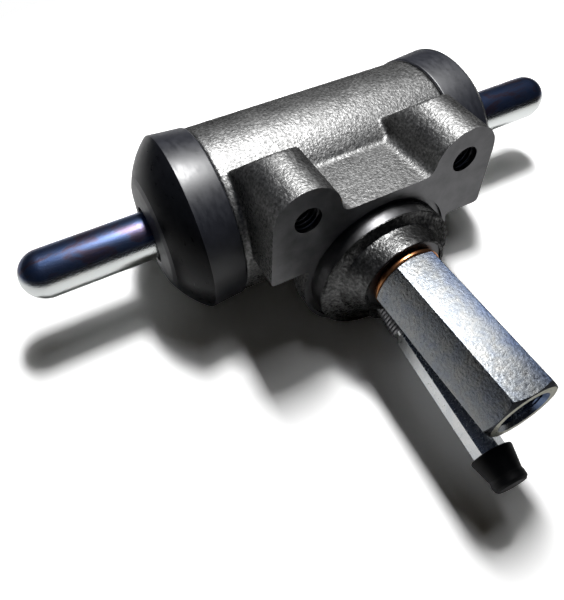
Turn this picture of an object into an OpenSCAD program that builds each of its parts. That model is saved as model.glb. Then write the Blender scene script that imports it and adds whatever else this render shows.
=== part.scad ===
// Double-ended hydraulic wheel cylinder with push rods, inlet adapter and bleed screw.
// Millimetres. The origin is on the pilot axis in the plane of the mounting face.
// +X runs along the bore, -Y points out of the mounting face, +Z is up.

/* [Barrel] */
// Bore diameter
bore_d = 31.75; // [29:0.05:33]
// Outside diameter of the cast barrel
barrel_d = 44.8; // [43:0.1:47]
// Length of the cast barrel between the boots
barrel_len = 64.8; // [63:0.2:72]
// Distance of the bore axis behind the mounting face
bore_y = 32.4; // [30:0.1:36]
// Height of the bore axis above the pilot axis
bore_z = 4.7; // [3:0.1:6.5]
// Diameter of the turned neck that carries each boot
neck_d = 41; // [39:0.1:42]
// Length of each neck
neck_len = 7.6; // [6.5:0.1:9]
// Width of the groove that holds the boot bead
groove_w = 2.4; // [1.5:0.1:3]
// Depth of the groove that holds the boot bead
groove_t = 0.9; // [0.5:0.1:1.5]

/* [Mounting face] */
// Distance between the two bolt holes
bolt_spacing = 42.5; // [41:0.1:45]
// Height of the bolt holes above the pilot axis
bolt_z = 24.7; // [23.5:0.1:26]
// Wall diameter of the tapped bolt holes
bolt_d = 6.8; // [5:0.1:8]
// Depth of the tapped bolt holes
bolt_depth = 17; // [12:0.5:18]
// Outside radius of each lug
lug_r = 8.6; // [7.5:0.1:9.2]
// Length of the straight crest of each lug
lug_len = 14; // [12:0.5:16]
// Fall of the back of each lug towards the barrel
lug_fall = 45; // [40:1:55]
// Half width of the mounting face at its lower edge
pad_half = 30.7; // [30.2:0.1:32]
// Lower edge of the mounting face
pad_z = 7.3; // [5:0.1:9]
// Upper edge of the bridge between the lugs
web_z = 23.2; // [22.4:0.1:24]
// Fall of the bridge towards the barrel
web_fall = 5; // [0:0.5:7]
// Fillet between bridge and lugs
web_fillet = 2.5; // [1.5:0.1:3.5]

/* [Pilot and inlet boss] */
// Pilot spigot diameter
pilot_d = 38.1; // [37:0.05:39]
// Length of the pilot spigot
pilot_len = 3.6; // [3:0.1:4.5]
// Bevel on the front edge of the spigot
pilot_bevel = 0.4; // [0.2:0.1:0.8]
// Width of the turned relief around the spigot
relief_w = 1.4; // [1:0.1:1.6]
// Depth of the turned relief
relief_t = 0.8; // [0.4:0.1:1.2]
// Diameter of the round flange behind the spigot
flange_d = 43; // [42.5:0.1:44.5]
// Straight length of the round flange
flange_len = 5; // [4:0.5:8]
// Diameter of the flange where it runs into the barrel
flange_root_d = 28; // [24:0.5:32]
// Diameter of the cast boss at the spigot
boss_root_d = 31.6; // [30:0.1:33]
// Diameter of the boss face around the inlet
boss_d = 22; // [21.8:0.1:23]
// Distance of the boss face from the mounting face
boss_len = 10.9; // [10:0.1:13]

/* [Inlet adapter] */
// Height of the inlet axis above the pilot axis
inlet_z = 5.6; // [4.5:0.1:6.5]
// Hexagon across the flats
hex_af = 17; // [16:0.1:18]
// Length of the hexagon
hex_len = 39.7; // [30:0.1:45]
// Turn of the tightened hexagon
hex_turn = 3.6; // [-30:0.1:30]
// Bevel of the hexagon's ends, measured on the radius
hex_bevel = 1.1; // [0.6:0.1:1.5]
// Diameter of the screwed end
stud_d = 10; // [9:0.1:11]
// Length of the screwed end below the washer
stud_len = 9.5; // [8:0.1:9.8]
// Wall diameter of the tapped line port
port_d = 11; // [9:0.1:11.8]
// Straight depth of the line port
port_depth = 12; // [8:0.1:14]
// Bevel of the line port's mouth
port_bevel = 0.9; // [0.5:0.1:1.2]
// Fluid drilling
drill_d = 4; // [3:0.1:4.5]
// Outside diameter of the sealing washer
washer_d = 18.4; // [17.4:0.1:19.2]
// Thickness of the sealing washer
washer_t = 1.9; // [1.4:0.1:2.4]
// Diameter of the spot face under the washer
spot_d = 20.8; // [20:0.1:21.4]
// Depth of the spot face
spot_t = 0.4; // [0.2:0.1:0.8]

/* [Bleed screw] */
// Height of the bleed axis at the mounting face
bleed_z = -7.9; // [-8.5:0.1:-7.4]
// Downward lean of the bleed axis
bleed_lean = 1.8; // [0:0.1:3]
// Sideways lean of the bleed axis, towards -X
bleed_sway = 4.1; // [0:0.1:6]
// Thread diameter
bleed_d = 7.8; // [7.4:0.1:8.2]
// Outer end of the thread, along the bleed axis
thread_end = 18.8; // [14:0.1:22]
// Inner end of the thread, along the bleed axis
thread_start = -6.5; // [-7.5:0.1:-5]
// Hexagon shank across the flats
shank_af = 6.9; // [6.4:0.1:7.2]
// Turn of the tightened hexagon shank
shank_turn = 35; // [0:1:60]
// Outer end of the hexagon shank, along the bleed axis
shank_end = 55.4; // [47:0.1:60]
// Hose nipple diameter
nip_d = 4.8; // [4.2:0.1:5.4]
// Length of the hose nipple
nip_len = 3.9; // [3.5:0.1:5]
// Bleed drilling
bleed_drill = 2; // [1.5:0.1:2.4]
// Diameter of the bleed boss at its face
bleed_boss_d = 11.6; // [10.5:0.1:12.5]
// Face of the bleed boss, along the bleed axis
bleed_boss = 8.8; // [7.5:0.1:9.5]
// Outside diameter of the rubber cap at its open end
cap_d = 10.2; // [9.8:0.1:11]
// Diameter of the bead at the closed end of the cap
cap_bead_d = 8.2; // [7.8:0.1:8.8]
// Length of the cap over the hexagon
cap_lap = 2.3; // [1.5:0.1:3]
// Wall at the closed end of the cap
cap_end = 1.6; // [1:0.1:2.5]

/* [Boots] */
// Length of the band on the neck
band_len = 9.3; // [8.4:0.1:10.5]
// Outside diameter of the band beside the barrel
band_d = 45.8; // [45:0.1:47.5]
// Outside diameter of the band's outer rim
rim_d = 47; // [46:0.1:48.5]
// Length of the domed nose beyond the band
nose_len = 8; // [7:0.1:9]
// Diameter of the edge around the nose's end face
nose_d = 27.4; // [25:0.1:29]
// Rise of the end face from its edge to the rod hole
nose_rise = 0.8; // [0.4:0.1:1.2]
// Bulge of the domed nose
nose_bulge = 0.7; // [0.4:0.1:1.2]
// Rubber wall of the nose
boot_wall = 2.2; // [1.6:0.1:2.6]

/* [Pistons and rods] */
// Push rod diameter
rod_d = 12.7; // [11.5:0.1:13]
// Distance of each rod tip from the middle of the barrel
rod_reach = 83; // [75:0.5:95]
// Greatest rock of a rod in its piston, in degrees
rod_rock = 2.5; // [1:0.5:3]
// Depth of each piston's inner face below the body's end
piston_set = 24; // [23:0.1:24.5]
// Piston length
piston_len = 20; // [18:0.1:22]
// Solid floor between the piston's inner face and the rod socket
socket_floor = 6.5; // [5:0.1:7.5]
// Length of the cup seal
cup_len = 7; // [6.5:0.1:8]
// Web of the cup seal against the piston
cup_web = 3; // [2.5:0.1:3.5]
// Sheet thickness of the cup expander
sheet_t = 0.8; // [0.6:0.1:1]
// Outside diameter of the cup expander
expander_d = 20; // [18.5:0.1:21]
// Height of the cup expander
expander_len = 4; // [3:0.1:5]
// Spring wire diameter
wire_d = 1.6; // [1.2:0.1:2]
// Number of spring turns
spring_turns = 5; // [4:1:7]

/* [Fits] */
// Radial gap of running and screwed fits
run_gap = 0.05; // [0.02:0.01:0.08]
// Gap between rubber and the metal that it sits on
seat_gap = 0.05; // [0.02:0.01:0.1]
// Free gap round pieces that only pass through
free_gap = 0.3; // [0.2:0.05:0.4]

/* [Hidden] */
$fn = 72;

over = 1;
half_len = barrel_len / 2;
body_end = half_len + neck_len;
lug_x = bolt_spacing / 2;
lug_top = bolt_z + lug_r;
lug_in = lug_x - lug_r;
rim_at = half_len + band_len;
nose_at = rim_at + nose_len;
rod_r = rod_d / 2;
piston_in = body_end - piston_set;
ball_at = piston_in + socket_floor + rod_r + run_gap;
piston_out = piston_in + piston_len;
socket_mouth = rod_r + run_gap + free_gap + (piston_out - ball_at) * tan(rod_rock);
rod_hole = rod_r + free_gap + (nose_at - ball_at) * tan(rod_rock);
hex_near = boss_len - spot_t + washer_t;
hex_far = hex_near + hex_len;
hex_r = hex_af / sqrt(3);
shank_r = shank_af / sqrt(3);
nip_end = shank_end + nip_len;
cap_start = shank_end - cap_lap;
cap_bore = shank_r + seat_gap;
cap_far = nip_end + seat_gap + cap_end;
cup_floor = piston_in - cup_web;
spring_half = cup_floor - sheet_t;
spring_r = expander_d / 2 - sheet_t - free_gap - wire_d / 2;

iron = [0.46, 0.46, 0.47];
zinc = [0.74, 0.76, 0.82];
black = [0.06, 0.06, 0.07];
copper = [0.72, 0.38, 0.2];
alloy = [0.7, 0.7, 0.7];
steel = [0.5, 0.5, 0.52];

// Places a revolved piece on the bore axis, its height running towards +X.
module on_bore() {
    translate([0, bore_y, bore_z]) rotate([0, 90, 0]) children();
}

// Places a revolved piece on a port axis, its height running out of the face.
module on_face(z) {
    translate([0, 0, z]) rotate([90, 0, 0]) children();
}

// Places a revolved piece on the leaning bleed axis.
module on_bleed() {
    translate([0, 0, bleed_z]) rotate([90 + bleed_lean, 0, -bleed_sway]) children();
}

// Extrudes an XZ outline back from the mounting face.
module back_from_face(depth) {
    translate([0, depth, 0]) rotate([90, 0, 0]) linear_extrude(depth) children();
}

// Points of a shallow arc from p to q, bulging by h to the left of the line.
function arc(p, q, h, n) = let (
    c = norm(q - p) / 2,
    r = (c * c + h * h) / (2 * h),
    u = (q - p) / (2 * c),
    v = [-u[1], u[0]],
    m = (p + q) / 2 - v * (r - h),
    w = asin(c / r)
) [for (i = [0 : n]) let (a = -w + 2 * w * i / n) m + r * (u * sin(a) + v * cos(a))];

// One lug outline: round crest and a side that spreads down to the lower edge.
module lug_outline() {
    translate([lug_x, bolt_z]) circle(r = lug_r);
    polygon([
        [lug_in, bolt_z], [lug_x + lug_r, bolt_z], [pad_half, pad_z], [lug_in, pad_z]
    ]);
}

// Bridge outline with a fillet into each lug.
module web_outline() {
    translate([-lug_x, pad_z]) square([bolt_spacing, web_z - pad_z]);
    for (s = [-1, 1]) difference() {
        translate([s * (lug_in - web_fillet / 2 + over / 2), web_z + web_fillet / 2])
            square([web_fillet + over, web_fillet], center = true);
        translate([s * (lug_in - web_fillet), web_z + web_fillet]) circle(r = web_fillet);
    }
}

// Side view of the lugs: level crest, then a fall into the barrel.
module lug_side() {
    run = bore_y - lug_len;
    rotate([90, 0, 90]) linear_extrude(4 * pad_half, center = true) polygon([
        [0, pad_z - over], [0, lug_top + over], [lug_len - over / tan(lug_fall), lug_top + over],
        [bore_y, lug_top - run * tan(lug_fall)], [bore_y, pad_z - over]
    ]);
}

module mounting_pad() {
    intersection() {
        lug_side();
        union() {
            for (s = [0, 1]) mirror([s, 0, 0]) back_from_face(bore_y) lug_outline();
            translate([0, 0, web_z]) rotate([-web_fall, 0, 0]) translate([0, -3 * over, -web_z])
                back_from_face(bore_y) web_outline();
        }
    }
}

// Round flange that carries the pilot and runs back into the barrel.
module flange() {
    rotate([-90, 0, 0]) {
        cylinder(h = flange_len, d = flange_d);
        translate([0, 0, flange_len])
            cylinder(h = bore_y - bore_d / 4 - flange_len, d1 = flange_d, d2 = flange_root_d);
    }
}

module pilot() {
    on_face(0) {
        translate([0, 0, -relief_t - over])
            cylinder(h = pilot_len - pilot_bevel + relief_t + over, d = pilot_d);
        translate([0, 0, pilot_len - pilot_bevel])
            cylinder(h = pilot_bevel, d1 = pilot_d, d2 = pilot_d - 2 * pilot_bevel);
    }
}

// Cast boss that leans from the pilot up to the inlet axis.
module inlet_boss() {
    hull() {
        on_face(0) cylinder(h = pilot_len, d = boss_root_d, $fn = 48);
        on_face(inlet_z) translate([0, 0, boss_len - over])
            cylinder(h = over, d = boss_d, $fn = 48);
    }
}

module bleed_boss_form() {
    on_bleed() cylinder(h = bleed_boss, d1 = bleed_boss_d + 4, d2 = bleed_boss_d);
}

module body_bores() {
    on_bore() cylinder(h = 2 * body_end + 2 * over, d = bore_d, center = true);
    for (s = [-1, 1]) translate([s * lug_x, -over, bolt_z]) rotate([-90, 0, 0])
        cylinder(h = bolt_depth + over, d = bolt_d);
    on_face(inlet_z) {
        translate([0, 0, boss_len - stud_len - over])
            cylinder(h = stud_len + 2 * over, d = stud_d + 2 * run_gap);
        translate([0, 0, boss_len - spot_t]) cylinder(h = spot_t + over, d = spot_d);
        translate([0, 0, -bore_y]) cylinder(h = bore_y + over, d = drill_d);
    }
    on_bleed() {
        translate([0, 0, thread_start - over])
            cylinder(h = bleed_boss - thread_start + 4 * over, d = bleed_d + 2 * run_gap);
        translate([0, 0, -bore_y * 0.75]) cylinder(h = bore_y * 0.75, d = bleed_drill);
    }
}

module neck_groove() {
    on_bore() for (s = [0, 1]) mirror([0, 0, s])
        translate([0, 0, half_len + neck_len / 2 - groove_w / 2]) difference() {
            cylinder(h = groove_w, d = neck_d + 2 * over);
            translate([0, 0, -over]) cylinder(h = groove_w + 2 * over, d = neck_d - 2 * groove_t);
        }
}

module cylinder_body() {
    color(iron) difference() {
        union() {
            difference() {
                union() {
                    on_bore() cylinder(h = barrel_len, d = barrel_d, center = true);
                    on_bore() cylinder(h = 2 * body_end, d = neck_d, center = true);
                    mounting_pad();
                    flange();
                }
                rotate([-90, 0, 0]) translate([0, 0, -over])
                    cylinder(h = relief_t + over, d = pilot_d + 2 * relief_w);
            }
            pilot();
            inlet_boss();
            bleed_boss_form();
        }
        neck_groove();
        body_bores();
    }
}

// Rubber boot: band with an inner bead, domed nose and a hole that lets the rod rock.
module boot_form() {
    in_r = neck_d / 2 + seat_gap;
    bead_r = in_r - groove_t;
    bead_at = half_len + neck_len / 2;
    bead_w = groove_w / 2 - seat_gap;
    edge_at = nose_at - nose_rise;
    dome = arc([rim_d / 2 - 0.3, rim_at + 0.3], [nose_d / 2, edge_at], -nose_bulge, 8);
    on_bore() rotate_extrude() polygon(concat(
        [[in_r, half_len], [band_d / 2 - 0.5, half_len], [band_d / 2, half_len + 0.6]],
        [[rim_d / 2, rim_at - 0.5]],
        dome,
        [[rod_hole + 0.6, nose_at], [rod_hole, nose_at - 0.2], [rod_hole, nose_at - boot_wall]],
        [[nose_d / 2 - 0.9, edge_at - boot_wall], [in_r, rim_at - boot_wall + 1.2]],
        [[in_r, bead_at + bead_w], [bead_r, bead_at + bead_w], [bead_r, bead_at - bead_w]],
        [[in_r, bead_at - bead_w]]
    ));
}

module left_boot() {
    color(black) mirror([1, 0, 0]) boot_form();
}

module right_boot() {
    color(black) boot_form();
}

// Push rod with a ball end in the piston and a round tip.
module rod_form() {
    ball = [for (i = [0 : 12]) [rod_r * sin(i * 7.5), ball_at - rod_r * cos(i * 7.5)]];
    tip = [for (i = [0 : 12]) [rod_r * cos(i * 7.5), rod_reach - rod_r + rod_r * sin(i * 7.5)]];
    on_bore() rotate_extrude() polygon(concat(ball, tip));
}

module left_push_rod() {
    color(zinc) mirror([1, 0, 0]) rod_form();
}

module right_push_rod() {
    color(zinc) rod_form();
}

// Piston with a round seat for the rod's ball end and a flared socket.
module piston_form() {
    seat_r = rod_r + run_gap;
    seat = [for (i = [0 : 12]) [seat_r * sin(i * 7.5), ball_at - seat_r * cos(i * 7.5)]];
    wall = bore_d / 2 - run_gap;
    on_bore() rotate_extrude() polygon(concat(
        [[0, piston_in]], seat,
        [[socket_mouth, piston_out], [wall - 0.8, piston_out], [wall, piston_out - 0.8]],
        [[wall, piston_in + 0.5], [wall - 0.5, piston_in]]
    ));
}

module left_piston() {
    color(alloy) mirror([1, 0, 0]) piston_form();
}

module right_piston() {
    color(alloy) piston_form();
}

// Rubber cup: a web against the piston and a lip that spreads towards the middle.
module cup_form() {
    wall = bore_d / 2 - run_gap;
    well = expander_d / 2 + seat_gap;
    on_bore() rotate_extrude() polygon([
        [0, piston_in], [wall - 0.6, piston_in], [wall, piston_in - cup_web],
        [wall, piston_in - cup_len], [wall - 1.2, piston_in - cup_len], [well, cup_floor], [0, cup_floor]
    ]);
}

module left_cup_seal() {
    color(black) mirror([1, 0, 0]) cup_form();
}

module right_cup_seal() {
    color(black) cup_form();
}

// Pressed expander that spreads the cup lip and seats the spring.
module expander_form() {
    r = expander_d / 2;
    on_bore() rotate_extrude() polygon([
        [0, cup_floor], [r, cup_floor], [r, cup_floor - expander_len],
        [r - sheet_t, cup_floor - expander_len], [r - sheet_t, cup_floor - sheet_t], [0, cup_floor - sheet_t]
    ]);
}

module left_cup_expander() {
    color(steel) mirror([1, 0, 0]) expander_form();
}

module right_cup_expander() {
    color(steel) expander_form();
}

// Open coil spring between the two expanders.
module return_spring() {
    sides = 8;
    steps = spring_turns * 20;
    rise = 2 * spring_half - wire_d;
    rings = [for (i = [0 : steps]) let (a = 360 * spring_turns * i / steps, z = rise * (i / steps - 0.5))
        for (j = [0 : sides - 1]) let (b = 360 * j / sides, q = spring_r + wire_d / 2 * cos(b))
            [q * cos(a), q * sin(a), z + wire_d / 2 * sin(b)]];
    skin = [for (i = [0 : steps - 1]) for (j = [0 : sides - 1]) let (k = (j + 1) % sides)
        [i * sides + j, (i + 1) * sides + j, (i + 1) * sides + k, i * sides + k]];
    ends = [[for (j = [0 : sides - 1]) j], [for (j = [sides - 1 : -1 : 0]) steps * sides + j]];
    color(steel) on_bore() polyhedron(rings, concat(skin, ends), convexity = 10);
}

// Long hexagon adapter: screwed end, fluid drilling and a tapped line port.
module inlet_adapter() {
    crown = hex_r - hex_bevel;
    color(zinc) on_face(inlet_z) difference() {
        union() {
            intersection() {
                translate([0, 0, hex_near]) rotate(hex_turn) cylinder(h = hex_len, r = hex_r, $fn = 6);
                rotate_extrude() polygon([
                    [0, hex_near], [crown, hex_near], [hex_r, hex_near + hex_bevel * 0.6],
                    [hex_r, hex_far - hex_bevel * 0.6], [crown, hex_far], [0, hex_far]
                ]);
            }
            translate([0, 0, boss_len - stud_len]) cylinder(h = stud_len + washer_t + over, d = stud_d);
        }
        translate([0, 0, boss_len - stud_len - over]) cylinder(h = hex_far + over, d = drill_d);
        translate([0, 0, hex_far - port_depth]) cylinder(h = port_depth + over, d = port_d);
        translate([0, 0, hex_far - port_depth - port_d / 4])
            cylinder(h = port_d / 4, d1 = drill_d, d2 = port_d);
        translate([0, 0, hex_far - port_bevel])
            cylinder(h = port_bevel + 0.01, d1 = port_d, d2 = port_d + 2 * port_bevel);
    }
}

module copper_washer() {
    color(copper) on_face(inlet_z) translate([0, 0, boss_len - spot_t]) difference() {
        cylinder(h = washer_t, d = washer_d);
        translate([0, 0, -over]) cylinder(h = washer_t + 2 * over, d = stud_d + 2 * run_gap);
    }
}

// Bleed screw: pointed end, thread, long hexagon shank and hose nipple.
module bleeder_screw() {
    r = bleed_d / 2;
    c = shank_r;
    n = nip_d / 2;
    color(zinc) on_bleed() difference() {
        union() {
            rotate_extrude() polygon([
                [0, thread_start], [bleed_drill / 2, thread_start], [r, thread_start + r],
                [r, thread_end - 0.5], [r - 0.5, thread_end], [0, thread_end]
            ]);
            intersection() {
                translate([0, 0, thread_end - over]) rotate(shank_turn)
                    cylinder(h = shank_end - thread_end + over, r = c, $fn = 6);
                rotate_extrude() polygon([
                    [0, thread_end - over], [c - 0.8, thread_end - over], [c - 0.8, thread_end],
                    [c, thread_end + 0.8], [c, shank_end - 0.4], [c - 0.5, shank_end], [0, shank_end]
                ]);
            }
            rotate_extrude() polygon([
                [0, shank_end - over], [n, shank_end - over], [n, nip_end - 1.4],
                [n - 0.6, nip_end], [0, nip_end]
            ]);
        }
        translate([0, 0, thread_start + 2 * r]) cylinder(h = nip_end, d = bleed_drill);
    }
}

// Tapered rubber cap with a bead at its closed end.
module bleeder_cap() {
    b = cap_bead_d / 2;
    n = nip_d / 2 + seat_gap;
    color(black) on_bleed() rotate_extrude() polygon([
        [cap_bore, cap_start], [cap_d / 2 - 0.2, cap_start], [cap_d / 2, cap_start + 0.3],
        [b - 0.15, cap_far - 2.5], [b, cap_far - 1.9], [b, cap_far - 0.7], [b - 0.7, cap_far],
        [0, cap_far], [0, cap_far - cap_end], [n, cap_far - cap_end], [n, shank_end + seat_gap],
        [cap_bore, shank_end + seat_gap]
    ]);
}

cylinder_body();
left_boot();
right_boot();
left_push_rod();
right_push_rod();
left_piston();
right_piston();
left_cup_seal();
right_cup_seal();
left_cup_expander();
right_cup_expander();
return_spring();
inlet_adapter();
copper_washer();
bleeder_screw();
bleeder_cap();
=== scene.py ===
import math
import bmesh
import bpy
from mathutils import Matrix, Vector, noise


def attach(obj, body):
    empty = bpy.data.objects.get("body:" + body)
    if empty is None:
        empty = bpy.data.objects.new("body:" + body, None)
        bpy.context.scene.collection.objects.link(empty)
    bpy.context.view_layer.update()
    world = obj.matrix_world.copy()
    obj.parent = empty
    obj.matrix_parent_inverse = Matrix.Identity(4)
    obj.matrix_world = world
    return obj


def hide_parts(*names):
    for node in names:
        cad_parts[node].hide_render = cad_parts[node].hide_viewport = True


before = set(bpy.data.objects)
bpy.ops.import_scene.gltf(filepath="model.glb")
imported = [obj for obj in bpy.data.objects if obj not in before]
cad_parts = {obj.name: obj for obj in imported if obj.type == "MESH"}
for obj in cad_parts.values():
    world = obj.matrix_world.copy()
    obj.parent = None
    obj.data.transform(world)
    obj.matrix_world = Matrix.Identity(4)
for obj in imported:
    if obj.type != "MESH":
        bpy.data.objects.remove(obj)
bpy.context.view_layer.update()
mm = 0.001
print("frame loaded, nodes:", len(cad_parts))

layout = {
    "boreY": 32.4, "boreZ": 4.7,          # bore axis, millimetres from the pilot axis
    "inletZ": 5.6, "boltX": 21.25, "boltZ": 24.7,
    "bleedZ": -7.9, "bleedLean": 1.8, "bleedSway": 4.1,    # leaning bleed axis
}


# places: local z runs along the axis of each group of pieces
def borePlace(side):
    turn = Matrix.Rotation(side * math.pi / 2, 4, "Y")
    return Matrix.Translation((0, layout["boreY"] * mm, layout["boreZ"] * mm)) @ turn


def facePlace(x, z):
    return Matrix.Translation((x * mm, 0, z * mm)) @ Matrix.Rotation(math.pi / 2, 4, "X")


def bleedPlace():
    lean = Matrix.Rotation(math.radians(90 + layout["bleedLean"]), 4, "X")
    sway = Matrix.Rotation(math.radians(-layout["bleedSway"]), 4, "Z")
    return Matrix.Translation((0, 0, layout["bleedZ"] * mm)) @ sway @ lean


# mesh helpers
def addObject(name, mesh):
    obj = bpy.data.objects.new(name, mesh)
    bpy.context.scene.collection.objects.link(obj)
    return obj


def makeMesh(name, points, faces):
    mesh = bpy.data.meshes.new(name)
    mesh.from_pydata(points, [], faces)
    bm = bmesh.new()
    bm.from_mesh(mesh)
    bmesh.ops.remove_doubles(bm, verts=bm.verts, dist=1e-7)
    bmesh.ops.recalc_face_normals(bm, faces=bm.faces)
    bm.to_mesh(mesh)
    bm.free()
    return mesh


def shade(mesh, angle=32):
    mesh.shade_smooth()
    mesh.set_sharp_from_angle(angle=math.radians(angle))


def roundCorners(corners, closed, steps=6):
    points = []                            # corners are (radius, height, fillet) in millimetres
    count = len(corners)
    for i, (r, h, fillet) in enumerate(corners):
        here = Vector((r, h))
        atEnd = not closed and i in (0, count - 1)
        if fillet <= 0 or atEnd:
            points.append(here)
            continue
        before = Vector(corners[i - 1][:2]) - here
        after = Vector(corners[(i + 1) % count][:2]) - here
        half = before.angle(after) / 2
        if half < 0.02 or half > math.pi / 2 - 0.01:
            points.append(here)
            continue
        reach = min(fillet / math.tan(half), 0.48 * before.length, 0.48 * after.length)
        radius = reach * math.tan(half)
        centre = here + (before.normalized() + after.normalized()).normalized() * (radius / math.sin(half))
        a = here + before.normalized() * reach - centre
        b = here + after.normalized() * reach - centre
        turn = a.angle_signed(b)
        for k in range(steps + 1):
            c = a.copy()
            c.rotate(Matrix.Rotation(-turn * k / steps, 2))
            points.append(centre + c)
    return points


def latheMesh(name, profile, place, steps=144, closed=True):
    points, rings, faces = [], [], []
    for r, h in profile:
        if r < 1e-6:
            rings.append([len(points)])
            points.append(place @ Vector((0, 0, h * mm)))
            continue
        rings.append(list(range(len(points), len(points) + steps)))
        for k in range(steps):
            a = 2 * math.pi * k / steps
            points.append(place @ Vector((r * mm * math.cos(a), r * mm * math.sin(a), h * mm)))
    pairs = list(zip(rings, rings[1:])) + ([(rings[-1], rings[0])] if closed else [])
    for p, q in pairs:
        for k in range(steps):
            n = (k + 1) % steps
            if len(p) == 1 and len(q) == 1:
                break
            if len(p) == 1:
                faces.append((p[0], q[k], q[n]))
            elif len(q) == 1:
                faces.append((p[k], p[n], q[0]))
            else:
                faces.append((p[k], p[n], q[n], q[k]))
    return makeMesh(name, points, faces)


def turned(name, corners, place, steps=144, closed=True, fillets=6):
    return latheMesh(name, roundCorners(corners, closed, fillets), place, steps, closed)


def prismMesh(name, outline, place, near, far):
    points = [place @ Vector((u * mm, v * mm, near(u, v) * mm)) for u, v in outline]
    points += [place @ Vector((u * mm, v * mm, far(u, v) * mm)) for u, v in outline]
    n = len(outline)
    faces = [tuple(range(n)), tuple(range(2 * n - 1, n - 1, -1))]
    faces += [(k, (k + 1) % n, n + (k + 1) % n, n + k) for k in range(n)]
    return makeMesh(name, points, faces)


def joinMeshes(name, meshes):
    bm = bmesh.new()
    for m in meshes:
        bm.from_mesh(m)
    mesh = bpy.data.meshes.new(name)
    bm.to_mesh(mesh)
    bm.free()
    return mesh


def bakeModifiers(obj):
    deps = bpy.context.evaluated_depsgraph_get()
    mesh = bpy.data.meshes.new_from_object(obj.evaluated_get(deps))
    obj.modifiers.clear()
    obj.data = mesh
    return obj


def cutWith(obj, cutters, kind="DIFFERENCE"):
    tools = []
    for i, cutter in enumerate(cutters):
        tool = addObject(obj.name + "Cutter" + str(i), cutter)
        tools.append(tool)
        mod = obj.modifiers.new("cut" + str(i), "BOOLEAN")
        mod.operation = kind
        mod.solver = "MANIFOLD"
        mod.object = tool
    bpy.context.view_layer.update()
    bakeModifiers(obj)
    for tool in tools:
        bpy.data.objects.remove(tool)
    return obj


def arcPoints(cx, cy, r, a0, a1, n):
    return [(cx + r * math.cos(math.radians(a0 + (a1 - a0) * k / n)),
             cy + r * math.sin(math.radians(a0 + (a1 - a0) * k / n))) for k in range(n + 1)]


# material helpers
def startFinish(name, colour, metallic, roughness, rim=1.0):
    mat = bpy.data.materials.new(name)
    mat.use_nodes = True
    tree = mat.node_tree
    bsdf = tree.nodes["Principled BSDF"]
    bsdf.inputs["Base Color"].default_value = (*colour, 1)
    bsdf.inputs["Metallic"].default_value = metallic
    bsdf.inputs["Roughness"].default_value = roughness
    bsdf.inputs["Specular Tint"].default_value = (rim, rim, rim, 1)
    coord = tree.nodes.new("ShaderNodeTexCoord").outputs["Object"]
    return mat, tree, bsdf, coord


def grain(tree, coord, scale, detail=4.0, rough=0.55, distortion=0.0):
    node = tree.nodes.new("ShaderNodeTexNoise")
    node.inputs["Scale"].default_value = scale
    node.inputs["Detail"].default_value = detail
    node.inputs["Roughness"].default_value = rough
    node.inputs["Distortion"].default_value = distortion
    tree.links.new(coord, node.inputs["Vector"])
    return node.outputs["Fac"]


def stretched(tree, coord, sx, sy, sz):
    node = tree.nodes.new("ShaderNodeMapping")
    node.inputs["Scale"].default_value = (sx, sy, sz)
    tree.links.new(coord, node.inputs["Vector"])
    return node.outputs["Vector"]


def ramp(tree, fac, stops):
    node = tree.nodes.new("ShaderNodeValToRGB")
    marks = node.color_ramp.elements
    while len(marks) < len(stops):
        marks.new(0.5)
    for mark, (at, colour) in zip(marks, stops):
        mark.position = at
        mark.color = (*colour, 1) if len(colour) == 3 else colour
    tree.links.new(fac, node.inputs["Fac"])
    return node.outputs["Color"]


def mixColours(tree, factor, first, second):
    node = tree.nodes.new("ShaderNodeMix")
    node.data_type = "RGBA"
    tree.links.new(factor, node.inputs["Factor"])
    for socket, value in (("A", first), ("B", second)):
        if isinstance(value, tuple):
            node.inputs[socket].default_value = (*value, 1)
        else:
            tree.links.new(value, node.inputs[socket])
    return node.outputs["Result"]


def spread(tree, fac, low, high, fromLow=0.3, fromHigh=0.7):
    node = tree.nodes.new("ShaderNodeMapRange")
    node.inputs["From Min"].default_value = fromLow
    node.inputs["From Max"].default_value = fromHigh
    node.inputs["To Min"].default_value = low
    node.inputs["To Max"].default_value = high
    tree.links.new(fac, node.inputs["Value"])
    return node.outputs["Result"]


def alongAxis(tree, coord, axis):
    node = tree.nodes.new("ShaderNodeSeparateXYZ")
    tree.links.new(coord, node.inputs["Vector"])
    return node.outputs[axis]


def bumpFrom(tree, bsdf, layers):
    normal = None                          # layers are (height, strength, distance in millimetres)
    for height, strength, distance in layers:
        node = tree.nodes.new("ShaderNodeBump")
        node.inputs["Strength"].default_value = strength
        node.inputs["Distance"].default_value = distance * mm
        tree.links.new(height, node.inputs["Height"])
        if normal is not None:
            tree.links.new(normal, node.inputs["Normal"])
        normal = node.outputs["Normal"]
    tree.links.new(normal, bsdf.inputs["Normal"])


def castFinish(name, shades, roughness, coarse, depth):
    mat, tree, bsdf, coord = startFinish(name, (shades[1],) * 3, 1.0, roughness, 0.1)
    sand = grain(tree, coord, coarse, 2, 0.55)
    fine = grain(tree, coord, 3200, 2, 0.6)
    broad = grain(tree, coord, 160, 3, 0.5)
    tone = ramp(tree, sand, [(at, (c, c, c * 0.99)) for at, c in zip((0.32, 0.5, 0.68), shades)])
    tree.links.new(tone, bsdf.inputs["Base Color"])
    tree.links.new(spread(tree, broad, roughness * 0.9, roughness * 1.1), bsdf.inputs["Roughness"])
    bumpFrom(tree, bsdf, [(sand, 0.8, depth), (fine, 0.7, 0.06)])
    return mat


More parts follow.
